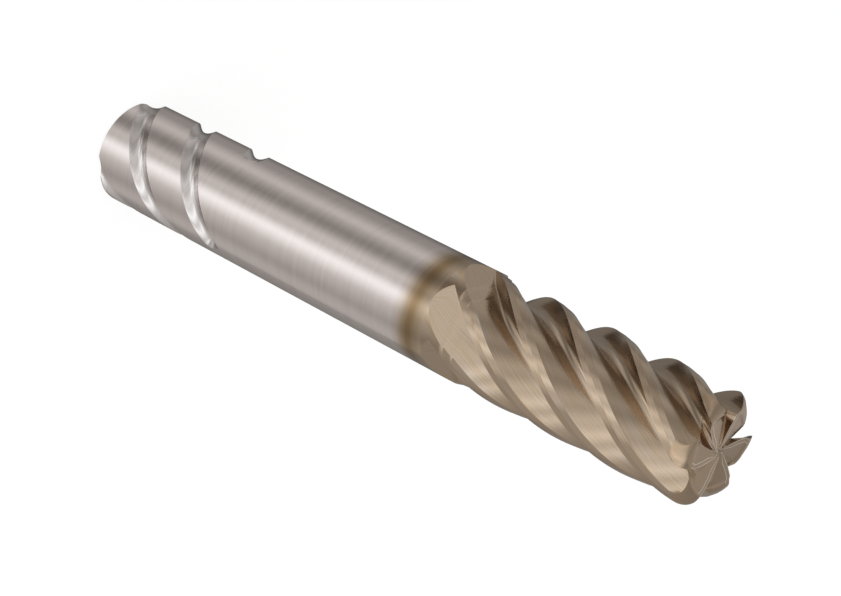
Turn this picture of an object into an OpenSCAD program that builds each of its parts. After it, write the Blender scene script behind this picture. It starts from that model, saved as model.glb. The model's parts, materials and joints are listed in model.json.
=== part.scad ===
// A solid endmill: a plain ground shank with helical drive grooves, and a coated
// cutting end with helical flutes, relieved lands, rounded corners and gashed end teeth.
// The shank's end face lies at z = 0 and the tool points along +Z.

/* [Overall] */
// Length from the shank's end face to the end teeth
overall_l = 177.8; // [160:0.1:220]

/* [Shank] */
// Diameter of the shank
shank_d = 25.4; // [25:0.1:32]
// Size of the 45 degree chamfer at the shank's end
shank_chamfer = 0.8; // [0.3:0.1:1.5]

/* [Drive grooves] */
// Number of helical grooves in the shank
groove_count = 3; // [1:1:4]
// Advance of a groove in one turn
groove_lead = 55; // [50:1:80]
// Distance from the shank's end face to the middle of a groove's blind end
groove_reach = 39.5; // [20:0.5:60]
// Width of a groove along the shank
groove_w = 6.2; // [3:0.1:7]
// Depth of a groove
groove_depth = 1.5; // [0.6:0.1:2.2]
// Share of a groove's width that its steeper rear wall takes
groove_rear_share = 0.45; // [0.2:0.05:0.5]

/* [Cutting end] */
// Diameter over the cutting edges
cutter_d = 25.4; // [22:0.1:25.8]
// Length of the cutting end with the flutes and their run-out
flute_l = 70; // [50:1:90]
// Length of the coated end, from the end teeth to the bare shank
coat_l = 74; // [72:1:95]
// Number of flutes and teeth
flute_count = 6; // [4:1:7]
// Helix angle of the cutting edges
helix_angle = 38.5; // [25:0.5:45]
// Diameter of the core under the flutes
core_d = 15.8; // [13:0.1:17]
// Radial rake angle of the tooth face
rake_angle = 8; // [0:0.5:12]
// Radius of the flute floor in front of the tooth face
floor_r = 3; // [2:0.1:4]
// Length over which the flutes run out towards the shank
runout_l = 17; // [14:1:24]
// Angle between the tool's axis and the flat in which a flute starts
exit_angle = 22.5; // [18:0.5:25]

/* [Lands] */
// Width of the primary relief behind the cutting edge
primary_w = 1.6; // [0.8:0.1:2]
// Width of the secondary relief behind the primary
secondary_w = 1.7; // [0.8:0.1:2.2]
// Angle of the primary relief
primary_angle = 7; // [3:0.5:12]
// Angle of the secondary relief
secondary_angle = 15; // [12:0.5:25]
// Distance from the start of the flutes to the start of the relieved lands
relief_start = 6; // [4:0.5:10]
// Length over which the relief reaches its depth
relief_ramp = 1; // [0.5:0.5:3]

/* [End teeth] */
// Corner radius of the teeth
corner_r = 3.5; // [1:0.1:4]
// Angle by which the end edges fall towards the centre
dish_angle = 2; // [0.5:0.5:4]
// Width of the primary relief behind the end edges
end_primary_w = 0.9; // [0.5:0.1:1.5]
// Angle of the primary relief behind the end edges
end_primary_angle = 6; // [3:0.5:9]
// Angle of the secondary relief behind the end edges
end_secondary_angle = 10; // [9:0.5:15]
// Depth of the gashes at the centre
gash_centre = 0.3; // [0.2:0.1:1]
// Radius at which the gash floors start to fall away
gash_start = 3.5; // [2:0.1:5]
// Slope of the gash floors away from the centre
gash_slope = 26; // [15:1:32]

/* [Hidden] */
$fn = 96;

shank_r = shank_d / 2;
cut_r = cutter_d / 2;
core_r = core_d / 2;
flute_z = overall_l - flute_l;
coat_z = overall_l - coat_l;
// Angle between two teeth, and turn of the helix for each millimetre
pitch = 360 / flute_count;
turn = 360 * tan(helix_angle) / (PI * cutter_d);

// Clearance of the hidden seat between the fluted body and the neck
seat_gap = 0.01;
seat_l = 1.5;
neck_end = flute_z - 0.2;

// Drive groove: points across its two flanks, and degrees between the stations along it
flank_steps = 4;
groove_step = 8;
// How far the cut reaches above the shank, and how much its steep wall leans out there
groove_over = 1;
groove_lean = 0.3;
// Blind end: its stations, and the share of the width that is left at the last of them
round_steps = 3;
end_share = 0.35;
groove_wall = groove_w * groove_rear_share;
groove_flank = groove_w - groove_wall;
groove_flank_r = (pow(groove_flank, 2) + pow(groove_depth, 2)) / (2 * groove_depth);
groove_flank_arc = asin(groove_flank / groove_flank_r);
// Turn of the first groove from the first cutting edge
groove_phase = 3.5;

// Flute: the floor arc touches the tooth face and the core circle
floor_dist = core_r + floor_r;
rake_reach = cut_r * sin(rake_angle) - floor_r;
face_l = cut_r * cos(rake_angle) - sqrt(pow(floor_dist, 2) - pow(rake_reach, 2));
floor_centre = [
    cut_r - face_l * cos(rake_angle) - floor_r * sin(rake_angle),
    floor_r * cos(rake_angle) - face_l * sin(rake_angle)
];
floor_u = atan2(floor_centre.y, floor_centre.x);
face_end_r = norm([cut_r - face_l * cos(rake_angle), face_l * sin(rake_angle)]);

// Land: shares of the pitch behind the cutting edge, and how far the surface has dropped there
deg_per_mm = 180 / (PI * cut_r);
primary_x = primary_w * deg_per_mm / pitch;
heel_x = (primary_w + secondary_w) * deg_per_mm / pitch;
primary_drop = primary_w * tan(primary_angle);
heel_drop = primary_drop + secondary_w * tan(secondary_angle);
heel_r = cut_r - heel_drop;
heel_u = pitch * (1 - heel_x);

// Tooth back: an arc from the flute's lowest point to the heel
floor_dir = [cos(floor_u), sin(floor_u)];
heel_chord = heel_r * [cos(heel_u), sin(heel_u)] - core_r * floor_dir;
back_r = (heel_chord * heel_chord) / (2 * heel_chord * floor_dir);
back_dist = core_r + back_r;

// Points on the tooth back, on the face with the floor, and on the land between heel and edge
back_steps = 6;
face_steps = back_steps + 2;
land_shares = [0.3, 0.6];
// How far the points crowd towards the flute's lowest line
face_bias = 1.5;
back_bias = 1.7;
// Rings in the run-out and how far they crowd towards its start, and steps between the rings above
runout_rings = 11;
runout_bias = 1.5;
flute_step = 2.3;

// Start of a flute: direction of its flat there, how far into the flat the first ring lies, and
// the share of the run-out over which the flat stays plain
exit_u = 0.54 * pitch;
exit_slope = tan(exit_angle);
flat_start = 0.3;
flat_share = 0.3;

// End teeth: they stand on the last ring below the corners, and their root meets the tooth face
// at the column that leaves as many points above it as the tooth back has
end_base = overall_l - 2 * corner_r;
end_rings = 3;
root_col = back_steps;
row_points = len(land_shares) + 1;
gash_rings = 5;
// Gash: angle between the end edge and the foot of its face, width of its floor, slope of its
// far wall, and the radius inside which all widths shrink towards the centre
gash_foot = 0.8;
gash_floor_w = 0.4;
gash_wall = 60;
gash_small_r = 3.5;

function mix(a, b, t) = a + (b - a) * t;
function polar(r, a) = [r * cos(a), r * sin(a)];

// Angle on the tooth face and floor arc, and on the tooth back, at a radius of the full flute
function face_u(r) =
    r > face_end_r
    ? rake_angle - asin(cut_r * sin(rake_angle) / r)
    : floor_u - acos(min(1, (pow(floor_dist, 2) + r * r - floor_r * floor_r) / (2 * floor_dist * r)));
function back_u(r) =
    floor_u + acos(min(1, (pow(back_dist, 2) + r * r - back_r * back_r) / (2 * back_dist * r)));

// How much of the relief is ground at a height
function relief(z) = min(1, max(0, (z - flute_z - relief_start) / relief_ramp));

// Drop of the land behind the edge, at a share x of the pitch
function land_drop(x) =
    x < primary_x
    ? primary_drop * x / primary_x
    : mix(primary_drop, heel_drop, (x - primary_x) / (heel_x - primary_x));

// Points of the flute at its full depth, from the cutting edge to the heel
function full_flute(heel_top) = concat(
    [for (i = [0 : face_steps])
        let (r = mix(core_r, cut_r, pow(cos(90 * i / face_steps), face_bias)))
        polar(r, face_u(r))],
    [for (i = [1 : back_steps])
        let (r = mix(core_r, heel_top, pow(i / back_steps, back_bias)))
        polar(r, back_u(r))]
);
function run_length(p, i) = i == 0 ? 0 : run_length(p, i - 1) + norm(p[i] - p[i - 1]);
plain_flute = full_flute(cut_r);
heel_col = len(plain_flute) - 1;
flat_shares = [for (i = [0 : heel_col]) run_length(plain_flute, i) / run_length(plain_flute, heel_col)];

// Points of the flat in which the flute starts, a distance x along it: down the tooth face, then
// along the flat to the heel
function flat_flute(x, heel_top) =
    let (
        middle = exit_u - turn * x,
        dist = cut_r - exit_slope * x,
        half = acos(dist / cut_r),
        face_t = max(0, (cut_r * cos(middle) - dist) / cos(rake_angle + middle)),
        edge = polar(cut_r, max(0, middle - half)),
        face_dir = [-cos(rake_angle), sin(rake_angle)],
        corner = edge + face_t * face_dir,
        heel = polar(heel_top, middle + half),
        flat_l = norm(heel - corner)
    )
    [for (s = flat_shares)
        let (l = s * (face_t + flat_l))
        l < face_t ? edge + l * face_dir : mix(corner, heel, (l - face_t) / flat_l)];

// How far the flat has turned into the full flute at a height
function full_share(z) =
    let (t = min(1, max(0, ((z - flute_z) / runout_l - flat_share) / (1 - flat_share))))
    t * t * (3 - 2 * t);

// One tooth pitch of the section at height z: [radius, angle] from the cutting edge round to the next
function tooth_section(z) =
    let (
        ground = relief(z),
        heel_top = cut_r - ground * heel_drop,
        flat = flat_flute(min(runout_l, max(0, z - flute_z) + flat_start), heel_top),
        flute = mix(flat, full_flute(heel_top), full_share(z)),
        start_u = atan2(flute[0].y, flute[0].x),
        end_u = atan2(flute[heel_col].y, flute[heel_col].x),
        land_x = (pitch + start_u - end_u) / pitch
    )
    concat(
        [for (p = flute) [norm(p), atan2(p.y, p.x)]],
        [for (s = concat(land_shares, [1]))
            let (x = mix(land_x, primary_x * land_x / heel_x, s))
            [cut_r - ground * land_drop(min(x, heel_x)), pitch * (1 - x) + start_u]]
    );

// Height of the end surface at radius r, a distance w behind the end cutting edge
function pitch_arc(r) = PI * r * pitch / 180;
function end_relief(w) =
    min(w, end_primary_w) * tan(end_primary_angle)
    + max(0, w - end_primary_w) * tan(end_secondary_angle);
function gash_depth(r) = gash_centre + max(0, r - gash_start) * tan(gash_slope);
function end_drop(r, w) =
    max(
        end_relief(w),
        gash_depth(r) - max(0, pitch_arc(r) - w - gash_floor_w * shrink(r)) * tan(gash_wall)
    );
function shrink(r) = min(1, r / gash_small_r);
function end_height(r, w) =
    let (
        side = land_drop(min(w * deg_per_mm / pitch, heel_x)),
        corner = max(0, min(corner_r, r - (cut_r - side - corner_r))),
        inside = max(0, cut_r - corner_r - r),
        drop = w == 0 ? 0 : end_drop(r, w)
    )
    overall_l - drop - corner_r + sqrt(pow(corner_r, 2) - corner * corner) - inside * tan(dish_angle);

full = tooth_section(end_base);
columns = len(full);

// Height of the end surface over a column: the face columns take the height of the cutting edge
function column_top(j) =
    let (r = full[j][0], u = full[j][1])
    j < root_col
    ? end_height(r, 0)
    : end_height(r, max(0, PI * r * (pitch - u) / 180));

// Rings of the fluted body: heights up to the end teeth, then columns that rise to the end surface
ring_z = concat(
    [for (i = [0 : runout_rings]) flute_z + runout_l * pow(i / runout_rings, runout_bias)],
    [for (i = [1 : floor((end_base - flute_z - runout_l) / flute_step)])
        mix(flute_z + runout_l, end_base, i / floor((end_base - flute_z - runout_l) / flute_step))]
);
function twist(z) = turn * (z - overall_l);
function place(r, u, z, k) = concat(polar(r, u + twist(z) + k * pitch), z);
function seat_ring() = [
    for (k = [0 : flute_count - 1], p = tooth_section(flute_z))
    place(min(cut_r, shank_r) - seat_gap, p[1], flute_z, k) - [0, 0, seat_l]
];
function body_ring(z) = [
    for (k = [0 : flute_count - 1], p = tooth_section(z)) place(p[0], p[1], z, k)
];
function end_ring(t) = [
    for (k = [0 : flute_count - 1], j = [0 : columns - 1])
    place(full[j][0], full[j][1], mix(end_base, column_top(j), t), k)
];

// End face of one tooth: rows from its root to its tip, each from the tooth back to the face
function end_row(k, i) =
    let (
        back = full[face_steps + i],
        face = full[root_col - i],
        back_w = PI * back[0] * (pitch + face[1] - back[1]) / 180,
        land_w = min(end_primary_w, back_w / 2)
    )
    [for (w = [mix(back_w, land_w, land_shares[0]), mix(back_w, land_w, land_shares[1]), land_w])
        let (s = 1 - w / back_w, r = mix(back[0], face[0], s), u = mix(back[1], pitch + face[1], s))
        place(r, u, end_height(r, w), k)];

// Core of the end face at radius r, as distances behind the end edge: foot of the gash face, gash
// floor, top of the far wall, secondary relief, primary relief and the edge
tip_r = full[root_col][0];
tip_u = full[root_col][1];
function wall_top(r) =
    let (
        across = pitch_arc(r) - gash_floor_w * shrink(r),
        wall = tan(gash_wall),
        secondary = tan(end_secondary_angle),
        primary_end = end_primary_w * (tan(end_primary_angle) - secondary)
    )
    min(across, (across * wall - gash_depth(r) + primary_end) / (wall - secondary));
function core_widths(r) =
    let (top = wall_top(r), land_w = end_primary_w * shrink(r))
    [
        pitch_arc(r) * (1 - gash_foot / pitch),
        pitch_arc(r) - gash_floor_w * shrink(r),
        top,
        mix(top, land_w, land_shares[0]),
        mix(top, land_w, land_shares[1]),
        land_w,
        0
    ];
function core_ring(t) = [
    for (k = [0 : flute_count - 1])
    let (r = tip_r * t)
    for (w = core_widths(r)) place(r, tip_u + pitch * (1 - w / pitch_arc(r)), end_height(r, w), k)
];

// Faces between two closed rings of n points that start at index a and b
function band(a, b, n) = [
    for (i = [0 : n - 1])
    let (j = (i + 1) % n)
    each [[a + i, b + i, a + j], [b + i, b + j, a + j]]
];

module fluted_body() {
    n = flute_count * columns;
    rings = concat(
        [seat_ring()],
        [for (z = ring_z) body_ring(z)],
        [for (i = [1 : end_rings]) end_ring(i / end_rings)]
    );
    last = (len(rings) - 1) * n;
    side_pts = [for (r = rings) each r];

    // Interior points of the teeth's end faces, and the core rings with the centre
    row_base = len(side_pts);
    row_pts = [for (k = [0 : flute_count - 1], i = [0 : back_steps - 1]) each end_row(k, i)];
    tops_base = row_base + len(row_pts);
    top_pts = [for (k = [0 : flute_count - 1]) place(tip_r, tip_u, end_height(tip_r, 0), k)];
    core_base = tops_base + flute_count;
    core_pts = [for (i = [1 : gash_rings - 1]) each core_ring(1 - i / gash_rings)];
    centre = core_base + len(core_pts);
    centre_z = overall_l - gash_centre - (cut_r - corner_r) * tan(dish_angle);
    points = concat(side_pts, row_pts, top_pts, core_pts, [[0, 0, centre_z]]);

    // Index of a column of tooth k on the last ring, and of a point across row i of its end face
    function top(k, j) = last + (k % flute_count) * columns + j;
    function crown(k) = tops_base + k % flute_count;
    function inner(k, i, q) =
        i == back_steps
        ? top(k, face_steps + back_steps + q)
        : row_base + (k * back_steps + i) * row_points + q - 1;
    function across(k, i, q) =
        q == 0
        ? top(k, face_steps + i)
        : q <= row_points
        ? inner(k, i, q)
        : i == 0
        ? crown(k + 1)
        : top(k + 1, root_col - i);
    outer_core = [
        for (k = [0 : flute_count - 1])
        each [
            top(k, root_col), top(k, root_col + 1), top(k, face_steps),
            across(k, 0, 1), across(k, 0, 2), across(k, 0, 3), crown(k + 1)
        ]
    ];
    m = len(outer_core);
    function core_index(i, j) = i == 0 ? outer_core[j % m] : core_base + (i - 1) * m + j % m;

    faces = concat(
        [[for (i = [0 : n - 1]) i]],
        [for (i = [0 : len(rings) - 2]) each band(i * n, (i + 1) * n, n)],
        [for (k = [0 : flute_count - 1], i = [0 : back_steps - 1], q = [0 : row_points])
            each [
                [across(k, i, q), across(k, i + 1, q + 1), across(k, i + 1, q)],
                [across(k, i, q), across(k, i, q + 1), across(k, i + 1, q + 1)]
            ]],
        [for (k = [0 : flute_count - 1]) [crown(k), top(k, root_col), top(k, root_col - 1)]],
        [for (i = [0 : gash_rings - 2], j = [0 : m - 1])
            each [
                [core_index(i, j), core_index(i + 1, j + 1), core_index(i, j + 1)],
                [core_index(i, j), core_index(i + 1, j), core_index(i + 1, j + 1)]
            ]],
        [for (j = [0 : m - 1]) [core_index(gash_rings - 1, j), centre, core_index(gash_rings - 1, j + 1)]]
    );
    polyhedron(points, faces, convexity = 12);
}

// Outline of a groove along the shank: [axial place, depth], open above the shank's surface
groove_line = concat(
    [[-groove_lean, -groove_over]],
    [for (i = [1 : flank_steps])
        let (a = 90 * i / flank_steps)
        [groove_wall * (1 - cos(a)), groove_depth * sin(a)]],
    [for (i = [1 : flank_steps - 1])
        let (a = groove_flank_arc * i / flank_steps)
        [groove_wall + groove_flank_r * sin(a), groove_depth - groove_flank_r * (1 - cos(a))]],
    [[groove_w + groove_over / tan(groove_flank_arc), -groove_over]]
);

module drive_groove() {
    start_z = -groove_w;
    helix = atan(PI * shank_d / groove_lead);
    blind_l = groove_w / 2 * sin(helix) * cos(helix);
    stations = ceil((groove_reach - start_z) / groove_lead * 360 / groove_step);
    // Each station: height of the groove's middle, share of its width, and how far it is lifted out
    path = concat(
        [for (i = [0 : stations]) [mix(start_z, groove_reach, i / stations), 1, 0]],
        [for (i = [1 : round_steps])
            let (a = 90 * i / round_steps)
            [
                groove_reach + blind_l * sin(a),
                mix(end_share, 1, cos(a)),
                (groove_depth + groove_lean) * (1 - cos(a))
            ]]
    );
    n = len(groove_line);
    points = [
        for (p = path, q = groove_line)
        concat(
            polar(shank_r - q[1] + p[2], 360 * p[0] / groove_lead),
            p[0] + (q[0] - groove_w / 2) * p[1]
        )
    ];
    faces = concat(
        [[for (i = [0 : n - 1]) i]],
        [for (i = [0 : len(path) - 2]) each band(i * n, (i + 1) * n, n)],
        [[for (i = [n - 1 : -1 : 0]) (len(path) - 1) * n + i]]
    );
    polyhedron(points, faces, convexity = 8);
}

module bare_shank() {
    difference() {
        rotate_extrude()
            polygon([
                [0, 0],
                [shank_r - shank_chamfer, 0],
                [shank_r, shank_chamfer],
                [shank_r, coat_z],
                [0, coat_z]
            ]);
        for (i = [0 : groove_count - 1])
            rotate([0, 0, 360 * i / groove_count + groove_phase])
                drive_groove();
    }
}

module coated_neck() {
    translate([0, 0, coat_z])
        cylinder(r = shank_r, h = neck_end - coat_z);
}

module endmill() {
    color("silver") bare_shank();
    color("#b0997f") {
        coated_neck();
        fluted_body();
    }
}

endmill();
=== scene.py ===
"""The endmill's looks: a finely meshed bare shank and coated cutting end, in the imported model's frame."""
import json
import math

import bpy
import numpy as np
from mathutils import Matrix, Vector


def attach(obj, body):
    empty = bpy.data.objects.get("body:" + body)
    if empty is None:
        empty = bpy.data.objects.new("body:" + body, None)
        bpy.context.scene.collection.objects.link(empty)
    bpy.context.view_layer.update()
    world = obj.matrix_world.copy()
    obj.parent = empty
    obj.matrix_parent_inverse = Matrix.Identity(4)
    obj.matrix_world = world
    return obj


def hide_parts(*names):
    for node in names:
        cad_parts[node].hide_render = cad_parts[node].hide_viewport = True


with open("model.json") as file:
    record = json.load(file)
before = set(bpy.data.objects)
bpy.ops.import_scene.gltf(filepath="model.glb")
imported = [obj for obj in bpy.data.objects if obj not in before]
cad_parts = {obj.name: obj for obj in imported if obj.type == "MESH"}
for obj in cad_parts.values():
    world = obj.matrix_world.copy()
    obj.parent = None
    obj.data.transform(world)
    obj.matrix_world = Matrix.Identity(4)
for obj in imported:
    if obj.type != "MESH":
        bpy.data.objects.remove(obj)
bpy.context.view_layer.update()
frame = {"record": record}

NODE = "endmill"
MM = 0.001

# Sizes of the tool in millimetres and degrees, as in the solid model
OVERALL = 177.8
CUT_R = 12.7
SHANK_R = frame["record"]["mounts"][0]["dims"]["r_mm"]
CHAMFER = 0.8
FLUTE_Z = 107.7
NECK_GAP = 0.02
NECK_Z = FLUTE_Z - NECK_GAP

# Helical drive grooves that end blind
GROOVES = 3
GROOVE_LEAD = 55.0
GROOVE_REACH = 39.5
GROOVE_W = 6.2
GROOVE_DEPTH = 1.5
GROOVE_REAR = 0.45
GROOVE_REAR_ROUNDING = 1.1
GROOVE_PHASE = 3.5

# Flutes, with a tighter floor and a fuller tooth back than the solid's
FLUTES = 6
PITCH = 360.0 / FLUTES
HELIX = 38.5
TURN = 360.0 * math.tan(math.radians(HELIX)) / (math.pi * 2 * CUT_R)
CORE_R = 7.9
RAKE = 8.0
FLOOR_R = 2.4
BACK_R = 16.0

# Run-out of the flutes: a flat across each start that turns into the full section
RUNOUT_L = 17.0
EXIT_ANGLE = 22.5
EXIT_U = 0.54 * PITCH
FLAT_START = 0.02
FLAT_PLAIN = 0.3

# Relief behind each cutting edge, and how far above the flutes' start it begins
PRIMARY_W = 1.6
SECONDARY_W = 1.7
PRIMARY = 7.0
SECONDARY = 15.0
PRIMARY_Z = 5.8
SECONDARY_Z = 8.4
RELIEF_RAMP = 0.5
LAND_W = PRIMARY_W + SECONDARY_W
DEG_PER_MM = 180 / (math.pi * CUT_R)

# End teeth, whose gashes have a gentler wall than the solid's
CORNER_R = 3.5
DISH = 2.0
END_PRIMARY_W = 0.9
END_PRIMARY = 6.0
END_SECONDARY = 10.0
GASH_CENTRE = 0.3
GASH_START_R = 2.2
GASH_SLOPE = 28.0
GASH_FLOOR_W = 0.45
GASH_WALL = 42.0
ROOT_R = 8.3
EDGE_AHEAD = 0.8
EDGE_BLEND = 2.5
EDGE_AHEAD_MOST = 0.6
# Width of the thin strips near the middle of the end teeth that carry a painted highlight: the cutting edge
# line and the line between the two end reliefs
EDGE_LINE = 0.14
FULL_WIDTH_R = 3.5

# Finishes of the faces, in the order of the materials
GROUND_METAL, COATED, LAND, HEEL_LAND, GROOVE, PAINTED_HIGHLIGHT, TOOTH_END, GROOVE_EDGE_SHADE = range(8)

# Columns of one tooth pitch: face from the edge to the root, floor, back, then land to the next edge
CORNER_ROWS = 12
ROOT_ROWS = 4
ROWS = CORNER_ROWS + ROOT_ROWS
FLOOR_COLS = 6
BACK_SPACING = 1.25
HALF_LAND = 6
LAND_COLS = 2 * HALF_LAND
EDGE_COL_W = 0.02

# Rings up the cutting end
START_L = 3.0
START_ROWS = 16
START_SPACING = 1.6
RUNOUT_STEP = 0.4
SIDE_ROWS = 76
TOP_ROWS = 8
TOP_START = OVERALL - 2 * CORNER_R

# Points across the end of one tooth, as shares between the gash's wall and the primary land
WALL_SHARES = (0.0, 0.35, 0.7)
LAND_MOST = 0.5
WALL_MOST = 0.92
WALL_LEAST = 0.3
CORE_RINGS = (0.9, 0.78, 0.66, 0.54, 0.42, 0.3, 0.19, 0.09)
# Finish of each strip across a pitch of the core: the gash floor, the line between the end reliefs and the
# cutting edge line are painted highlights
CORE_FINISH = [PAINTED_HIGHLIGHT] + [TOOTH_END] * 4 + [PAINTED_HIGHLIGHT] + [TOOTH_END] * 2 + [PAINTED_HIGHLIGHT, TOOTH_END]
CORE_SHARP = (0, 1, 2, 5, 6, 8, 9)
TOOTH_SHARP = (1, 4, 5, 7)

SEARCH_STEPS = 40
BACK_TURN_MOST = 80.0


def rad(a):
    return math.radians(a)


def mix(a, b, t):
    return a + (b - a) * t


def smooth_step(t):
    t = min(1.0, max(0.0, t))
    return t * t * (3 - 2 * t)


def polar(r, a):
    return np.array([r * math.cos(rad(a)), r * math.sin(rad(a))])


def angle_of(p):
    return math.degrees(math.atan2(p[1], p[0]))


def radius_and_angle(p):
    return float(np.hypot(*p)), angle_of(p)


def search(low, high, is_low):
    """Value between low and high up to which is_low holds."""
    for _ in range(SEARCH_STEPS):
        middle = (low + high) / 2
        low, high = (middle, high) if is_low(middle) else (low, middle)
    return low


# Flute section with the cutting edge at angle 0: the straight tooth face runs into the floor arc
FLOOR_DIST = CORE_R + FLOOR_R
FLOOR_REACH = CUT_R * math.sin(rad(RAKE)) - FLOOR_R
FACE_L = CUT_R * math.cos(rad(RAKE)) - math.sqrt(FLOOR_DIST ** 2 - FLOOR_REACH ** 2)
FLOOR_C = np.array([
    CUT_R - FACE_L * math.cos(rad(RAKE)) - FLOOR_R * math.sin(rad(RAKE)),
    FLOOR_R * math.cos(rad(RAKE)) - FACE_L * math.sin(rad(RAKE)),
])
FLOOR_U = angle_of(FLOOR_C)
FACE_END_R = math.hypot(CUT_R - FACE_L * math.cos(rad(RAKE)), FACE_L * math.sin(rad(RAKE)))


def floor_point(turn):
    """Point of the floor arc, an angle past its lowest point."""
    return FLOOR_C - FLOOR_R * polar(1, FLOOR_U - turn)


def face_u(r):
    """Angle on the tooth face and the floor arc at a radius."""
    if r > FACE_END_R:
        return RAKE - math.degrees(math.asin(CUT_R * math.sin(rad(RAKE)) / r))
    c = (FLOOR_DIST ** 2 + r * r - FLOOR_R ** 2) / (2 * FLOOR_DIST * r)
    return FLOOR_U - math.degrees(math.acos(min(1, c)))


def back_ends(heel_r):
    """Angle past the lowest point where the floor arc ends, and the two ends of the tooth back above it."""
    heel = polar(heel_r, PITCH - LAND_W * DEG_PER_MM)

    def on_floor(turn):
        chord = heel - floor_point(turn)
        lift = math.degrees(math.asin(np.linalg.norm(chord) / (2 * BACK_R)))
        return FLOOR_U + 90 - turn > angle_of(chord) - lift

    turn = search(0.0, BACK_TURN_MOST, on_floor)
    return turn, floor_point(turn), heel


def back_points(heel_r):
    """[radius, angle] of the back columns, from above the lowest point to the heel."""
    turn, foot, heel = back_ends(heel_r)
    arc, chord = rad(turn) * FLOOR_R, np.linalg.norm(heel - foot)
    outward = np.array([heel[1] - foot[1], foot[0] - heel[0]]) / chord
    columns = []
    for i in range(1, ROWS + 1):
        along = (arc + chord) * (i / ROWS) ** BACK_SPACING
        if along < arc:
            point = floor_point(turn * along / arc)
        else:
            share = min(1.0, (along - arc) / chord)
            bulge = chord ** 2 / (2 * BACK_R) * share * (1 - share)
            point = mix(foot, heel, share) + outward * bulge
        columns.append(radius_and_angle(point))
    return columns


def relief_share(z, start):
    """Share of a relief that is there at height z, where it begins a distance above the flutes' start."""
    return min(1.0, max(0.0, (z - FLUTE_Z - start) / RELIEF_RAMP))


def land_drop(w, z):
    """Drop of the land at a distance w behind the cutting edge."""
    extra = max(0.0, w - PRIMARY_W) * (math.tan(rad(SECONDARY)) - math.tan(rad(PRIMARY)))
    return relief_share(z, PRIMARY_Z) * w * math.tan(rad(PRIMARY)) + relief_share(z, SECONDARY_Z) * extra


def face_radii():
    """Radii of the columns down the tooth face and the floor; the rows on the end start at the same ones."""
    inner = CUT_R - CORNER_R
    corner = [inner + CORNER_R * math.sin(rad(90 * i / CORNER_ROWS)) for i in range(CORNER_ROWS + 1)]
    root = [mix(ROOT_R, inner, i / ROOT_ROWS) for i in range(ROOT_ROWS)]
    steps = range(1, FLOOR_COLS + 1)
    floor = [CORE_R + (ROOT_R - CORE_R) * (1 - math.sin(rad(90 * i / FLOOR_COLS))) for i in steps]
    return (root + corner)[::-1] + floor


FACE_R = face_radii()
ROOT_COL = ROWS
LOW_COL = len(FACE_R) - 1
HEEL_COL = LOW_COL + ROWS
COLUMNS = HEEL_COL + 1 + LAND_COLS


def full_section(z):
    """[radius, angle] of each column where the flute has its full depth."""
    columns = [(r, face_u(r)) for r in FACE_R]
    columns += back_points(CUT_R - land_drop(LAND_W, z))
    heel_w = (PITCH - columns[-1][1]) / DEG_PER_MM
    split = min(PRIMARY_W, heel_w)
    widths = [mix(heel_w, split, i / HALF_LAND) for i in range(1, HALF_LAND + 1)]
    widths += [mix(split, 0, i / HALF_LAND) for i in range(1, HALF_LAND)]
    widths += [min(EDGE_COL_W, split / 4)]
    columns += [(CUT_R - land_drop(min(w, LAND_W), z), PITCH - w * DEG_PER_MM) for w in widths]
    return columns


def lengths_along(columns):
    """Distance of each column from the first, along the section."""
    points = np.array([polar(r, u) for r, u in columns])
    steps = np.linalg.norm(np.diff(points, axis=0), axis=1)
    return np.concatenate([[0], np.cumsum(steps)])


FULL = full_section(OVERALL)
ACROSS = list(lengths_along(FULL))
START_LENGTHS = lengths_along(full_section(FLUTE_Z)[:HEEL_COL + 1])
FLAT_SHARE = START_LENGTHS / START_LENGTHS[-1]


def flat_points(x, heel_r):
    """Points down the tooth face and along the flat, a distance x into the run-out."""
    middle = EXIT_U - TURN * x
    dist = CUT_R - math.tan(rad(EXIT_ANGLE)) * x
    half = math.degrees(math.acos(dist / CUT_R))
    face_l = max(0.0, (CUT_R * math.cos(rad(middle)) - dist) / math.cos(rad(RAKE + middle)))
    edge = polar(CUT_R, max(0.0, middle - half))
    down_face = np.array([-math.cos(rad(RAKE)), math.sin(rad(RAKE))])
    corner = edge + face_l * down_face
    heel = polar(heel_r, middle + half)
    flat_l = np.linalg.norm(heel - corner)
    points = []
    for share in FLAT_SHARE:
        along = share * (face_l + flat_l)
        if along < face_l:
            points.append(edge + along * down_face)
        else:
            points.append(mix(corner, heel, (along - face_l) / flat_l))
    return points


def section(z):
    """[radius, angle] of each column at height z, flute run-out included."""
    full = full_section(z)
    x = max(0.0, z - FLUTE_Z)
    if x >= RUNOUT_L:
        return full
    depth = smooth_step((x / RUNOUT_L - FLAT_PLAIN) / (1 - FLAT_PLAIN))
    flat = flat_points(x + FLAT_START, full[HEEL_COL][0])
    columns = [radius_and_angle(mix(p, polar(*column), depth)) for p, column in zip(flat, full)]
    heel_u, edge_u = columns[HEEL_COL][1], PITCH + columns[0][1]
    full_heel_u = full[HEEL_COL][1]
    for r, u in full[HEEL_COL + 1:]:
        columns.append((r, mix(heel_u, edge_u, (u - full_heel_u) / (PITCH - full_heel_u))))
    return columns


# Heights of the end teeth, at radius r and a distance w behind the end cutting edge
def narrowing(r):
    """Share of their full width that the lands and the gash floors have near the middle."""
    return min(1.0, r / FULL_WIDTH_R)


def gash_depth(r):
    return GASH_CENTRE + max(0.0, r - GASH_START_R) * math.tan(rad(GASH_SLOPE))


def end_relief(w):
    if w < END_PRIMARY_W:
        return w * math.tan(rad(END_PRIMARY))
    return END_PRIMARY_W * math.tan(rad(END_PRIMARY)) + (w - END_PRIMARY_W) * math.tan(rad(END_SECONDARY))


def end_drop(r, w):
    """Drop of the end surface below the cutting edge: the relief, or the gash in front of the next tooth."""
    wall_w = max(0.0, rad(PITCH) * r - w - GASH_FLOOR_W * narrowing(r))
    return max(end_relief(w), gash_depth(r) - wall_w * math.tan(rad(GASH_WALL)))


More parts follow.
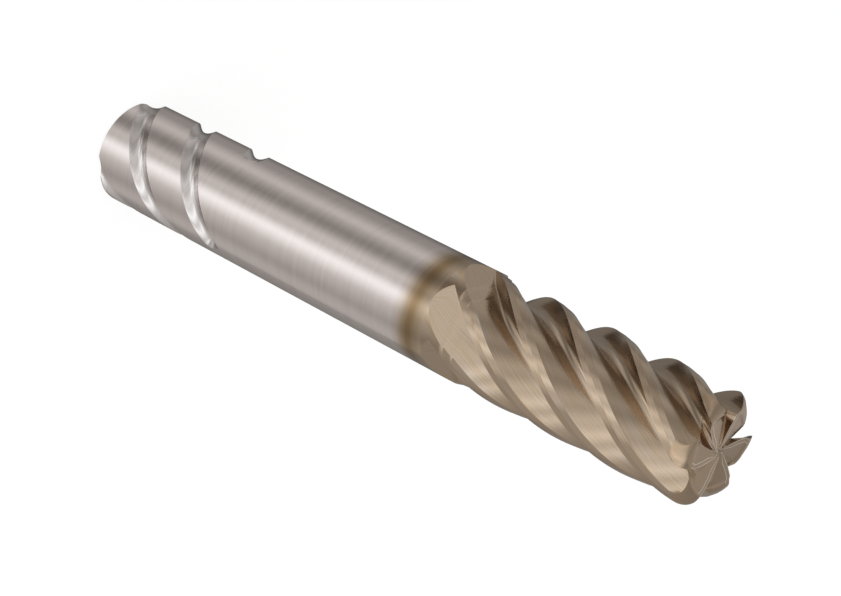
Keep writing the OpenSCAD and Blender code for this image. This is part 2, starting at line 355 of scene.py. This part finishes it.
def end_height(r, w):
    """Height of the end surface, with the rounded corner outside and the dish inside."""
    side = min(land_drop(w, OVERALL), land_drop(LAND_W, OVERALL))
    corner = max(0.0, min(CORNER_R, r - (CUT_R - side - CORNER_R)))
    inside = max(0.0, CUT_R - CORNER_R - r)
    arc = math.sqrt(CORNER_R ** 2 - corner ** 2) - CORNER_R
    return OVERALL - end_drop(r, w) + arc - inside * math.tan(rad(DISH))


def wall_width(r):
    """Distance behind the next edge at which the gash's wall meets the end face at radius r."""
    arc = rad(PITCH) * r
    nearest = min(END_PRIMARY_W, WALL_LEAST * arc)
    return search(nearest, arc - GASH_FLOOR_W * narrowing(r), lambda w: end_drop(r, w) <= end_relief(w))


def edge_angle(r):
    """Angle of the end cutting edge at radius r, ahead of the radial line."""
    root_r, root_u = FULL[ROOT_COL]
    ahead = mix(root_r * math.sin(rad(root_u)), EDGE_AHEAD, min(1.0, (root_r - r) / EDGE_BLEND))
    return math.degrees(math.asin(min(ahead, EDGE_AHEAD_MOST * r) / r))


class Surface:
    """Points, faces and sharp edges of one mesh."""

    def __init__(self):
        self.points, self.faces, self.sharp, self.finish, self.across = [], [], [], [], []

    def ring(self, points, across=None):
        """Adds points, with their distance across the flute, and gives their numbers."""
        start = len(self.points)
        self.points += [tuple(p) for p in points]
        self.across += [float(a) for a in across] if across else [0.0] * len(points)
        return list(range(start, start + len(points)))

    def face(self, corners, finish):
        self.faces.append(tuple(corners))
        self.finish.append(finish)

    def band(self, a, b, finishes):
        """Quads between two closed rings."""
        for i, finish in enumerate(finishes):
            j = (i + 1) % len(a)
            self.face((a[i], a[j], b[j], b[i]), finish)

    def fill(self, a, b, finish):
        """Triangles between two lines of points that share neither count nor spacing."""
        i = j = 0
        last_a, last_b = len(a) - 1, len(b) - 1
        while i < last_a or j < last_b:
            if j == last_b or (i < last_a and (i + 1) / last_a <= (j + 1) / last_b):
                self.face((a[i], b[j], a[i + 1]), finish)
                i += 1
            else:
                self.face((a[i], b[j], b[j + 1]), finish)
                j += 1

    def crease(self, line):
        self.sharp += list(zip(line[:-1], line[1:]))


# Cutting end
def place(r, u, z, k):
    """Point of tooth k in space, turned by the helix at its height."""
    a = rad(u + TURN * (z - OVERALL) + k * PITCH)
    return (r * math.cos(a), r * math.sin(a), z)


def side_heights():
    """Heights of the rings up the side, closer together where the flutes begin."""
    heights = [FLUTE_Z + START_L * (i / START_ROWS) ** START_SPACING for i in range(START_ROWS + 1)]
    for relief_z in (PRIMARY_Z, SECONDARY_Z):
        heights += [FLUTE_Z + relief_z, FLUTE_Z + relief_z + RELIEF_RAMP]
    heights += [FLUTE_Z + x for x in np.arange(START_L + RUNOUT_STEP, RUNOUT_L, RUNOUT_STEP)]
    heights += list(np.linspace(FLUTE_Z + RUNOUT_L, TOP_START, SIDE_ROWS))
    return sorted(set(round(float(z), 4) for z in heights))


def teeth_ring(s, columns, heights):
    """A ring with the same columns on each tooth, each column at its own height."""
    points = [place(r, u, z, k) for k in range(FLUTES) for (r, u), z in zip(columns, heights)]
    return s.ring(points, ACROSS * FLUTES)


def neck_ring(s):
    """Round ring on which the cutting end meets the bare shank."""
    start = [place(CUT_R, u, FLUTE_Z, k) for k in range(FLUTES) for _, u in section(FLUTE_Z)]
    return s.ring([(x, y, NECK_Z) for x, y, _ in start], ACROSS * FLUTES)


def top_rings(s):
    """Rings from the plain side up to the end surface."""
    ends = []
    for j, (r, u) in enumerate(FULL):
        w = rad(PITCH - u) * r if j >= ROOT_COL else 0.0
        ends.append(end_height(r, max(0.0, w)))
    shares = [i / TOP_ROWS for i in range(1, TOP_ROWS + 1)]
    return [teeth_ring(s, FULL, [mix(TOP_START, end, share) for end in ends]) for share in shares]


def fluted_end(s):
    """Coated cutting end with the neck above the bare shank."""
    rings = [neck_ring(s)]
    rings += [teeth_ring(s, section(z), [z] * COLUMNS) for z in side_heights()]
    rings += top_rings(s)
    finishes = [COATED] * HEEL_COL + [HEEL_LAND] * HALF_LAND + [LAND] * (COLUMNS - HEEL_COL - HALF_LAND)
    for a, b in zip(rings[:-1], rings[1:]):
        s.band(a, b, finishes * FLUTES)
    for k in range(FLUTES):
        for column in (0, HEEL_COL, HEEL_COL + HALF_LAND):
            s.crease([ring[k * COLUMNS + column] for ring in rings[1:]])
    end_teeth(s, rings[-1])


def row_widths(r, back_w):
    """Distances behind the next edge of the points in one row of a tooth's end."""
    land = min(END_PRIMARY_W, LAND_MOST * back_w)
    wall = min(wall_width(r), WALL_MOST * back_w)
    far = [mix(wall, land, share) for share in WALL_SHARES]
    return far + [land + EDGE_LINE / 2, land - EDGE_LINE / 2, land * 0.5, EDGE_LINE]


def tooth_rows(s, k, rim, crown):
    """Rows of points across the end of tooth k, from its root to its corner."""
    rows = []
    for i in range(ROWS):
        back_r, back_u = FULL[LOW_COL + i]
        front_r, front_u = FULL[ROOT_COL - i]
        back_w = rad(PITCH + front_u - back_u) * back_r
        points = []
        for w in row_widths(back_r, back_w):
            share = 1 - w / back_w
            r, u = mix(back_r, front_r, share), mix(back_u, PITCH + front_u, share)
            points.append(place(r, u, end_height(r, w), k))
        edge = crown[(k + 1) % FLUTES] if i == 0 else rim(k + 1, ROOT_COL - i)
        rows.append([rim(k, LOW_COL + i)] + s.ring(points) + [edge])
    return rows


def tooth_end(s, k, rows, rim):
    """Faces and sharp edges on the end of tooth k."""
    for i, (a, b) in enumerate(zip(rows[:-1], rows[1:])):
        for q in range(len(a) - 1):
            finish = CORE_FINISH[q + 1] if i < ROOT_ROWS else TOOTH_END
            s.face((a[q], b[q], b[q + 1], a[q + 1]), finish)
    outer = [rim(k, HEEL_COL + q) for q in range(LAND_COLS + 1)] + [rim(k + 1, 0)]
    s.fill(rows[-1], outer, TOOTH_END)
    s.crease([row[-1] for row in rows[:-1]] + [rim(k + 1, 0)])
    s.crease([row[0] for row in rows[:-1]] + [rim(k, HEEL_COL)])
    for q in TOOTH_SHARP:
        s.crease([row[q] for row in rows[:ROOT_ROWS + 1]])


def end_teeth(s, last):
    """End faces of the teeth and the gashed core, on the last ring of the side."""
    def rim(k, column):
        return last[(k % FLUTES) * COLUMNS + column]

    root_r, root_u = FULL[ROOT_COL]
    crown = s.ring([place(root_r, root_u, end_height(root_r, 0), k) for k in range(FLUTES)])
    roots = []
    for k in range(FLUTES):
        rows = tooth_rows(s, k, rim, crown)
        tooth_end(s, k, rows, rim)
        roots.append(rows[0])
    for k in range(FLUTES):
        s.face((crown[k], rim(k, ROOT_COL - 1), rim(k, ROOT_COL)), TOOTH_END)
        s.crease([crown[k], rim(k, ROOT_COL)])
    core(s, roots, crown, rim)


def core_line(r):
    """[angle, distance behind the next edge] across one pitch of the core at radius r."""
    arc, scale = rad(PITCH) * r, narrowing(r)
    land, line = END_PRIMARY_W * scale, EDGE_LINE * scale
    wall = max(wall_width(r), land + line)
    widths = [arc * 0.999, arc - GASH_FLOOR_W * scale]
    widths += [mix(wall, land, share) for share in WALL_SHARES]
    widths += [land + line / 2, land - line / 2, land * 0.5, line, 0.0]
    return [(edge_angle(r) + PITCH * (1 - w / arc), w) for w in widths]


def core(s, roots, crown, rim):
    """Gashes and end reliefs inside the roots of the teeth."""
    rings = []
    for share in CORE_RINGS:
        r = FULL[ROOT_COL][0] * share
        line = core_line(r)
        rings.append(s.ring([place(r, u, end_height(r, w), k) for k in range(FLUTES) for u, w in line]))
    count = len(CORE_FINISH)
    for k in range(FLUTES):
        inner = rings[0][k * count:(k + 1) * count]
        following = rings[0][(k + 1) % FLUTES * count]
        core_joint(s, inner, roots[k], [rim(k, j) for j in range(ROOT_COL, LOW_COL + 1)])
        s.face((inner[-1], crown[(k + 1) % FLUTES], following), TOOTH_END)
        s.face((following, crown[(k + 1) % FLUTES], rim(k + 1, ROOT_COL)), TOOTH_END)
    size = len(rings[0])
    for a, b in zip(rings[:-1], rings[1:]):
        for i in range(size):
            j = (i + 1) % size
            s.face((b[i], a[i], a[j], b[j]), CORE_FINISH[i % count])
    centre = s.ring([(0, 0, OVERALL - GASH_CENTRE - (CUT_R - CORNER_R) * math.tan(rad(DISH)))])[0]
    for i in range(size):
        s.face((centre, rings[-1][i], rings[-1][(i + 1) % size]), TOOTH_END)
    for k in range(FLUTES):
        for c in CORE_SHARP:
            s.crease([ring[k * count + c] for ring in rings])


def core_joint(s, inner, root, floor):
    """Faces between the core's outer ring and the root row and flute floor of one tooth."""
    s.fill(inner[:2], floor, TOOTH_END)
    s.fill(inner[1:3], root[:2], TOOTH_END)
    for q in range(1, len(root) - 1):
        s.face((inner[q + 1], root[q], root[q + 1], inner[q + 2]), CORE_FINISH[q + 1])


# Shank with its drive grooves
RISE = math.atan(GROOVE_LEAD / (2 * math.pi * SHANK_R))
END_R = GROOVE_W / 2 * math.cos(RISE)
GROOVE_HALF = GROOVE_W / 2 / GROOVE_LEAD * 360
GROOVE_PITCH = 360 / GROOVES
MM_PER_DEG = 2 * math.pi * SHANK_R / 360
END_GAP = 0.005
GROOVE_TOP = GROOVE_REACH + END_R - END_GAP

# Columns of one groove's pitch, and rings up the shank
GROOVE_COLS = 30
MARGIN = 1.5
MARGIN_COLS = 4
PLAIN_COLS = 20
CHAMFER_ROWS = 3
GROOVED_ROWS = 84
BLIND_END_ROWS = 26
BLIND_END_PLAIN = 0.1
PLAIN_START = 0.3
PLAIN_ROWS = 30


def groove_profile(q):
    """Depth at an axial distance q in front of the groove's middle line."""
    rear_w = GROOVE_W * GROOVE_REAR
    x = q + GROOVE_W / 2
    if x < rear_w:
        return GROOVE_DEPTH * math.sin(rad(90 * x / rear_w)) ** GROOVE_REAR_ROUNDING
    return GROOVE_DEPTH * math.cos(rad(90 * min(1.0, (x - rear_w) / (GROOVE_W - rear_w))))


def groove_span(z):
    """Angles from its middle line at which a groove starts and ends on the ring at height z."""
    y = z - GROOVE_REACH
    low, high = -GROOVE_HALF, GROOVE_HALF
    reach = math.sqrt(max(0.0, END_R ** 2 - y * y))
    if y > END_R * math.cos(RISE):
        low = (-y / math.tan(RISE) - reach) / MM_PER_DEG
    if y > -END_R * math.cos(RISE):
        high = (-y / math.tan(RISE) + reach) / MM_PER_DEG
    return low, high


def groove_depth_at(z, b):
    """Depth at height z, an angle b from the groove's middle line."""
    x = b * MM_PER_DEG + (z - GROOVE_REACH) / math.tan(RISE)
    y = z - GROOVE_REACH
    along = x * math.cos(RISE) + y * math.sin(RISE)
    beside = -x * math.sin(RISE) + y * math.cos(RISE)
    dist = min(END_R, math.hypot(beside, max(0.0, along)))
    return groove_profile(math.copysign(dist / math.cos(RISE), beside))


def shank_heights():
    """Heights of the rings up the bare shank."""
    heights = [CHAMFER * i / CHAMFER_ROWS for i in range(CHAMFER_ROWS + 1)]
    blind_end = GROOVE_REACH - END_R
    heights += list(np.linspace(CHAMFER, blind_end, GROOVED_ROWS))[1:]
    heights += [mix(blind_end, GROOVE_TOP, i / BLIND_END_ROWS) for i in range(1, BLIND_END_ROWS + 1)]
    return heights + list(np.linspace(GROOVE_TOP + PLAIN_START, NECK_Z, PLAIN_ROWS))


def pitch_columns(z):
    """[angle from the groove's middle line, radius] around one pitch at height z: groove, then plain land."""
    limit = SHANK_R - max(0.0, CHAMFER - z)
    low, high = groove_span(min(z, GROOVE_TOP))
    wide = GROOVE_HALF + MARGIN
    inside = [mix(low, high, i / (GROOVE_COLS - 1)) for i in range(GROOVE_COLS)]
    land = [mix(high, wide, i / MARGIN_COLS) for i in range(1, MARGIN_COLS + 1)]
    land += [mix(wide, GROOVE_PITCH - wide, i / (PLAIN_COLS + 1)) for i in range(1, PLAIN_COLS + 1)]
    land += [GROOVE_PITCH + mix(-wide, low, i / MARGIN_COLS) for i in range(MARGIN_COLS)]
    cut = [groove_depth_at(z, b) if z < GROOVE_TOP else 0.0 for b in inside[1:-1]]
    radii = [min(limit, SHANK_R - depth) for depth in [0.0] + cut + [0.0]]
    return list(zip(inside, radii)) + [(b, limit) for b in land]


def shank_ring(s, z):
    points = []
    for k in range(GROOVES):
        base = (k + min(z, GROOVE_TOP) * GROOVES / GROOVE_LEAD) * GROOVE_PITCH + GROOVE_PHASE
        for b, r in pitch_columns(z):
            points.append((r * math.cos(rad(base + b)), r * math.sin(rad(base + b)), z))
    return s.ring(points)


def bare_shank(s):
    """Turned shank with a chamfer, helical drive grooves with a painted shade along their front edges, and
    the start of the coating.
    """
    heights = shank_heights()
    rings = [shank_ring(s, z) for z in heights]
    size = len(rings[0])
    per_groove = size // GROOVES
    # The first strip inside each groove, along its front edge, is a painted shade: a dark grey line
    grooved = [GROOVE_EDGE_SHADE] + [GROOVE] * (GROOVE_COLS - 2) + [GROUND_METAL] * (per_groove - GROOVE_COLS + 1)
    for a, b, z in zip(rings[:-1], rings[1:], heights):
        s.band(a, b, grooved * GROOVES if z < GROOVE_TOP - BLIND_END_PLAIN else [GROUND_METAL] * size)
    s.face(list(reversed(rings[0])), GROUND_METAL)
    cut_rings = [ring for ring, z in zip(rings, heights) if z < GROOVE_TOP]
    for k in range(GROOVES):
        for column in (0, GROOVE_COLS - 1):
            s.crease([ring[k * per_groove + column] for ring in cut_rings])
    for ring in (rings[0], rings[CHAMFER_ROWS]):
        s.crease(ring + [ring[0]])


def mesh_object(name, s, materials):
    mesh = bpy.data.meshes.new(name)
    mesh.from_pydata([Vector(p) * MM for p in s.points], [], s.faces)
    mesh.polygons.foreach_set("material_index", s.finish)
    mesh.polygons.foreach_set("use_smooth", [True] * len(mesh.polygons))
    marked = {tuple(sorted(e)) for e in s.sharp}
    sharp = [tuple(sorted(e.vertices)) in marked for e in mesh.edges]
    mesh.attributes.new("sharp_edge", "BOOLEAN", "EDGE").data.foreach_set("value", sharp)
    mesh.attributes.new("across", "FLOAT", "POINT").data.foreach_set("value", s.across)
    for m in materials:
        mesh.materials.append(m)
    mesh.update()
    obj = bpy.data.objects.new(name, mesh)
    bpy.context.scene.collection.objects.link(obj)
    return obj


# Materials
SHANK_COLOUR = (0.655, 0.58, 0.552)
# Share of the bare metal's colour that is left at each height through the start of the coating
COATING = [
    (98.6, (1.0, 1.0, 1.0)),
    (100.4, (0.87, 0.83, 0.77)),
    (102.0, (0.59, 0.51, 0.38)),
    (103.4, (0.43, 0.32, 0.19)),
    (104.4, (0.42, 0.32, 0.18)),
    (106.0, (0.56, 0.47, 0.33)),
    (107.6, (0.650, 0.562, 0.432)),
]
# Fine and broad lines around the shank, in cycles per metre across and up the tool
FINE_LINES = (60, 60, 5200)
BROAD_LINES = (40, 40, 900)
BROAD_CONTRAST = 0.10
ROUGHNESS_RANGE = 0.08
FINE_BUMP = (0.12, 0.00002)
# Lines along the flutes, in cycles per millimetre across a flute and per metre up the tool
STREAKS_ACROSS = 2.6
STREAKS_UP = 70.0
STREAK_BUMP = (0.5, 0.00003)
# Tint of the coating in the dark and in the light lines
DARK_LINE = (1.02, 0.96, 0.85)
LIGHT_LINE = (0.98, 1.04, 1.15)


class Nodes:
    """Short calls for building a material's node tree."""

    def __init__(self, tree):
        self.tree = tree

    def add(self, kind, **values):
        node = self.tree.nodes.new(kind)
        for key, value in values.items():
            setattr(node, key, value)
        return node

    def link(self, a, b):
        self.tree.links.new(a, b)

    def math(self, operation, *values):
        node = self.add("ShaderNodeMath", operation=operation)
        for socket, value in zip(node.inputs, values):
            if isinstance(value, (int, float)):
                socket.default_value = value
            else:
                self.link(value, socket)
        return node.outputs[0]

    def vector(self, operation, vector, socket, value):
        node = self.add("ShaderNodeVectorMath", operation=operation)
        self.link(vector, node.inputs[0])
        if isinstance(value, tuple):
            node.inputs[socket].default_value = value
        else:
            self.link(value, node.inputs[socket])
        return node.outputs[0]

    def xyz(self, vector):
        node = self.add("ShaderNodeSeparateXYZ")
        self.link(vector, node.inputs[0])
        return node.outputs

    def ramp(self, value, stops):
        node = self.add("ShaderNodeValToRGB")
        elements = node.color_ramp.elements
        while len(elements) < len(stops):
            elements.new(0.5)
        for element, (position, colour) in zip(elements, sorted(stops)):
            element.position = position
            element.color = tuple(colour) + (1,)
        self.link(value, node.inputs[0])
        return node.outputs[0]

    def smooth(self, value, low, high):
        node = self.add("ShaderNodeMapRange", interpolation_type="SMOOTHSTEP")
        node.inputs["From Min"].default_value = low
        node.inputs["From Max"].default_value = high
        self.link(value, node.inputs["Value"])
        return node.outputs[0]

    def blend(self, factor, a, b):
        node = self.add("ShaderNodeMix", data_type="RGBA")
        for socket, value in zip((0, 6, 7), (factor, a, b)):
            self.link(value, node.inputs[socket])
        return node.outputs[2]

    def mix_shaders(self, factor, a, b):
        node = self.add("ShaderNodeMixShader")
        for socket, value in enumerate((factor, a, b)):
            self.link(value, node.inputs[socket])
        return node.outputs[0]

    def noise(self, vector, detail, roughness=0.5):
        node = self.add("ShaderNodeTexNoise")
        node.inputs["Scale"].default_value = 1.0
        node.inputs["Detail"].default_value = detail
        node.inputs["Roughness"].default_value = roughness
        self.link(vector, node.inputs["Vector"])
        return node.outputs["Fac"]


def tinted(colour, *tints):
    return [math.prod(parts) for parts in zip(colour, *tints)]


def metal(name):
    """A new metal with its nodes, its shader and the object's coordinates."""
    m = bpy.data.materials.new(name)
    m.use_nodes = True
    shader = m.node_tree.nodes["Principled BSDF"]
    shader.inputs["Metallic"].default_value = 1.0
    n = Nodes(m.node_tree)
    return m, n, shader, n.add("ShaderNodeTexCoord").outputs["Object"]


def lined(n, shader, colour, shade, roughness, wear):
    """Colour times shade, and a roughness that varies with the wear."""
    n.link(n.vector("SCALE", colour, "Scale", shade), shader.inputs["Base Color"])
    varied = n.math("ADD", n.math("MULTIPLY", wear, ROUGHNESS_RANGE), roughness - ROUGHNESS_RANGE / 2)
    n.link(varied, shader.inputs["Roughness"])


def bumped(n, shader, height, strength, distance):
    node = n.add("ShaderNodeBump")
    node.inputs["Strength"].default_value = strength
    node.inputs["Distance"].default_value = distance
    n.link(height, node.inputs["Height"])
    n.link(node.outputs[0], shader.inputs["Normal"])


def shank_material(name, roughness, contrast, tint=(1, 1, 1)):
    """Bare ground carbide with fine lines around it, and the coloured start of the coating."""
    m, n, shader, where = metal(name)
    fine = n.noise(n.vector("MULTIPLY", where, 1, FINE_LINES), 3.0, 0.6)
    broad = n.noise(n.vector("MULTIPLY", where, 1, BROAD_LINES), 2.0)
    low, high = COATING[0][0] * MM, COATING[-1][0] * MM
    share = n.math("DIVIDE", n.math("SUBTRACT", n.xyz(where)[2], low), high - low)
    stops = [((z * MM - low) / (high - low), tinted(left, SHANK_COLOUR, tint)) for z, left in COATING]
    lines = n.math("ADD", n.math("MULTIPLY", fine, contrast), n.math("MULTIPLY", broad, BROAD_CONTRAST))
    shade = n.math("ADD", lines, 1.0 - (contrast + BROAD_CONTRAST) / 2)
    lined(n, shader, n.ramp(share, stops), shade, roughness, broad)
    bumped(n, shader, fine, *FINE_BUMP)
    return m


def coating_material(name, roughness, contrast, tint=(1, 1, 1)):
    """Thin bronze-tan coating over faces with the wheel's lines along the flute."""
    m, n, shader, where = metal(name)
    base = tinted(COATING[-1][1], SHANK_COLOUR, tint)
    across = n.add("ShaderNodeAttribute", attribute_name="across").outputs["Fac"]
    flute = n.add("ShaderNodeCombineXYZ")
    n.link(n.math("MULTIPLY", across, STREAKS_ACROSS), flute.inputs[0])
    n.link(n.math("MULTIPLY", n.xyz(where)[2], STREAKS_UP), flute.inputs[1])
    lines = n.noise(flute.outputs[0], 4.0, 0.7)
    colour = n.ramp(lines, [(0.35, tinted(base, DARK_LINE)), (0.65, tinted(base, LIGHT_LINE))])
    shade = n.math("ADD", n.math("MULTIPLY", lines, contrast), 1.0 - contrast / 2)
    lined(n, shader, colour, shade, roughness, lines)
    bumped(n, shader, lines, *STREAK_BUMP)
    return m


def add_tool():
    """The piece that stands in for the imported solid, with its materials in the order of the finishes."""
    surface = Surface()
    bare_shank(surface)
    fluted_end(surface)
    tool = mesh_object("endmill_ground", surface, [
        shank_material("ground_carbide", roughness=0.24, contrast=0.16),
        coating_material("coated_flute", roughness=0.17, contrast=0.34),
        # Painted shade: the primary land's coating is tinted a little browner and darker than the heel land's
        coating_material("coated_land_painted_shade", roughness=0.15, contrast=0.20, tint=(0.99, 0.97, 0.95)),
        coating_material("coated_heel_land", roughness=0.15, contrast=0.20),
        shank_material("ground_groove", roughness=0.12, contrast=0.24, tint=(0.94, 0.98, 1.0)),
        # Painted highlight: the coating tinted brighter than white and bluish, on the thin lines of the end
        # teeth and the gash floors
        coating_material("painted_highlight_edge", roughness=0.30, contrast=0.05, tint=(1.88, 2.2, 2.6)),
        coating_material("coated_tooth_end", roughness=0.20, contrast=0.0, tint=(1.07, 1, 0.90)),
        # Painted shade: the bare metal darkened to dark grey along each groove's front edge
        shank_material("groove_edge_painted_shade", roughness=0.35, contrast=0.10, tint=(0.30, 0.29, 0.28)),
    ])
    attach(tool, "root")
    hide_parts(NODE)


# Camera at the photograph's viewing angle, found from its outlines and helical edges
IMAGE_W, IMAGE_H = 841, 596
FOCAL_PX = 2363.35
SENSOR_W = 36
# Turns of the tool's axis towards the camera and in the picture, in radians
TILT, TURN_IN_IMAGE = 0.639, 0.478
# Place in the picture and distance of the point at a height on the tool's axis
AIM_PX = (460.473, 318.670)
AIM_Z = 107.40
AIM_DEPTH = 504.22
# Turn of a cutting edge about the axis, in degrees
EDGE_TURN = 5.4


def tool_axes():
    """The tool's x, y and z axes as the camera sees them: right, down and away."""
    flat = math.cos(TILT)
    axis = Vector((flat * math.cos(TURN_IN_IMAGE), flat * math.sin(TURN_IN_IMAGE), -math.sin(TILT)))
    top = Vector((axis.y, -axis.x, 0)).normalized()
    middle = axis.cross(top)
    c, s = math.cos(rad(EDGE_TURN)), math.sin(rad(EDGE_TURN))
    return c * top + s * middle, -s * top + c * middle, axis


def add_camera():
    axes = tool_axes()
    aim = Vector(((AIM_PX[0] - IMAGE_W / 2) / FOCAL_PX, (AIM_PX[1] - IMAGE_H / 2) / FOCAL_PX, 1)) * AIM_DEPTH
    origin = aim - axes[2] * AIM_Z
    right_up_back = (Vector((1, 0, 0)), Vector((0, -1, 0)), Vector((0, 0, -1)))
    rotation = Matrix([[direction.dot(axis) for axis in axes] for direction in right_up_back]).transposed()
    eye = Vector([-origin.dot(axis) for axis in axes]) * MM
    data = bpy.data.cameras.new("camera")
    data.sensor_width = SENSOR_W
    data.lens = FOCAL_PX / IMAGE_W * SENSOR_W
    data.clip_start, data.clip_end = 0.01, 50
    camera = bpy.data.objects.new("camera", data)
    camera.matrix_world = Matrix.Translation(eye) @ rotation.to_4x4()
    bpy.context.scene.collection.objects.link(camera)
    bpy.context.scene.camera = camera


# Studio around the tool, seen by reflections only: brightness of its walls at each direction in
# degrees, below, around and above the horizon, and of the ground straight below
WALLS_LOW = [
    (-180, 0.58), (-165, 0.64), (-150, 0.34), (-125, 0.28), (-100, 0.16), (-78, 0.10), (-45, 0.36),
    (-28, 0.34), (5, 0.82), (32, 0.26), (46, 0.30), (66, 0.88), (77, 0.62), (97, 1.68), (124, 0.78),
    (161, 0.42), (180, 0.60),
]
WALLS_MIDDLE = [
    (-180, 0.58), (-165, 0.46), (-120, 0.40), (-75, 0.36), (-52, 0.46), (-40, 0.34), (-28, 0.64), (-12, 0.50),
    (4, 0.38), (20, 0.62), (32, 0.50), (44, 0.95), (53, 0.75), (62, 1.50), (74, 1.05), (84, 1.80), (97, 0.90),
    (110, 0.98), (124, 0.58), (150, 0.68), (180, 0.58),
]
WALLS_HIGH = [
    (-180, 0.48), (-150, 0.42), (-108, 0.38), (-93, 0.60), (-60, 0.44), (-44, 0.36), (-26, 0.72), (-8, 0.42),
    (14, 0.62), (30, 0.48), (50, 0.92), (64, 0.78), (80, 1.22), (90, 1.10), (104, 1.65), (118, 0.95),
    (131, 1.55), (146, 0.80), (160, 0.64), (180, 0.48),
]
WALLS_TOP = 1.8
GROUND = 0.31
# Heights of a direction between which the ground turns into the low, middle and high walls
GROUND_TO_WALLS = (-0.96, -0.75)
LOW_TO_MIDDLE = (-0.58, -0.34)
MIDDLE_TO_HIGH = (-0.20, 0.10)
# Tint of dark and of bright walls
DARK_TINT = (1.04, 1.0, 0.95)
BRIGHT_TINT = (0.94, 1.0, 1.04)


def wall_colour(level):
    """Colour of a wall of a given brightness, as a share of the brightest."""
    share = min(1.0, level / WALLS_TOP)
    return [level / WALLS_TOP * mix(a, b, share) for a, b in zip(DARK_TINT, BRIGHT_TINT)]


def wall_colours(n, direction):
    """Colour of the studio in each direction."""
    x, y, height = direction
    around = n.math("ADD", n.math("DIVIDE", n.math("ARCTAN2", y, x), 2 * math.pi), 0.5)
    low, middle, high = [n.ramp(around, [((a + 180) / 360, wall_colour(level)) for a, level in walls])
                         for walls in (WALLS_LOW, WALLS_MIDDLE, WALLS_HIGH)]
    walls = n.blend(n.smooth(height, *LOW_TO_MIDDLE), low, middle)
    walls = n.blend(n.smooth(height, *MIDDLE_TO_HIGH), walls, high)
    ground = n.add("ShaderNodeRGB").outputs[0]
    ground.default_value = tuple(wall_colour(GROUND)) + (1,)
    return n.blend(n.smooth(height, *GROUND_TO_WALLS), ground, walls)


def add_studio():
    world = bpy.data.worlds.new("studio")
    bpy.context.scene.world = world
    world.use_nodes = True
    n = Nodes(world.node_tree)
    lit = world.node_tree.nodes["Background"]
    direction = n.xyz(n.add("ShaderNodeTexCoord").outputs["Generated"])
    n.link(wall_colours(n, direction), lit.inputs["Color"])
    lit.inputs["Strength"].default_value = WALLS_TOP
    white = n.add("ShaderNodeBackground")
    white.inputs["Color"].default_value = (1, 1, 1, 1)
    camera_ray = n.add("ShaderNodeLightPath").outputs["Is Camera Ray"]
    seen = n.mix_shaders(camera_ray, lit.outputs[0], white.outputs[0])
    n.link(seen, world.node_tree.nodes["World Output"].inputs["Surface"])


# Share of the floor's white that is its own and share that takes light and shadow; size and place in metres
FLOOR_GLOW, FLOOR_LIT = 0.84, 0.26
FLOOR_HALF = 4.0
FLOOR_Z = -0.0001


def floor_material():
    """Pale, with the tool's shadow, where it is seen from above; the walls light the tool through it."""
    m = bpy.data.materials.new("pale_floor")
    m.use_nodes = True
    m.node_tree.nodes.clear()
    n = Nodes(m.node_tree)
    glow = n.add("ShaderNodeEmission")
    glow.inputs["Color"].default_value = (FLOOR_GLOW,) * 3 + (1,)
    lit = n.add("ShaderNodeBsdfDiffuse")
    lit.inputs["Color"].default_value = (FLOOR_LIT,) * 3 + (1,)
    pale = n.add("ShaderNodeAddShader")
    n.link(glow.outputs[0], pale.inputs[0])
    n.link(lit.outputs[0], pale.inputs[1])
    from_above = n.math("SUBTRACT", 1.0, n.add("ShaderNodeNewGeometry").outputs["Backfacing"])
    camera_ray = n.add("ShaderNodeLightPath").outputs["Is Camera Ray"]
    clear = n.add("ShaderNodeBsdfTransparent").outputs[0]
    seen = n.mix_shaders(n.math("MULTIPLY", camera_ray, from_above), clear, pale.outputs[0])
    n.link(seen, n.add("ShaderNodeOutputMaterial").inputs["Surface"])
    return m


def add_floor():
    mesh = bpy.data.meshes.new("floor")
    corners = [(x * FLOOR_HALF, y * FLOOR_HALF, FLOOR_Z) for x, y in ((-1, -1), (1, -1), (1, 1), (-1, 1))]
    mesh.from_pydata(corners, [], [(0, 1, 2, 3)])
    mesh.materials.append(floor_material())
    floor = bpy.data.objects.new("floor", mesh)
    bpy.context.scene.collection.objects.link(floor)


add_tool()
add_camera()
add_studio()
add_floor()
bpy.context.scene.view_settings.view_transform = "Standard"
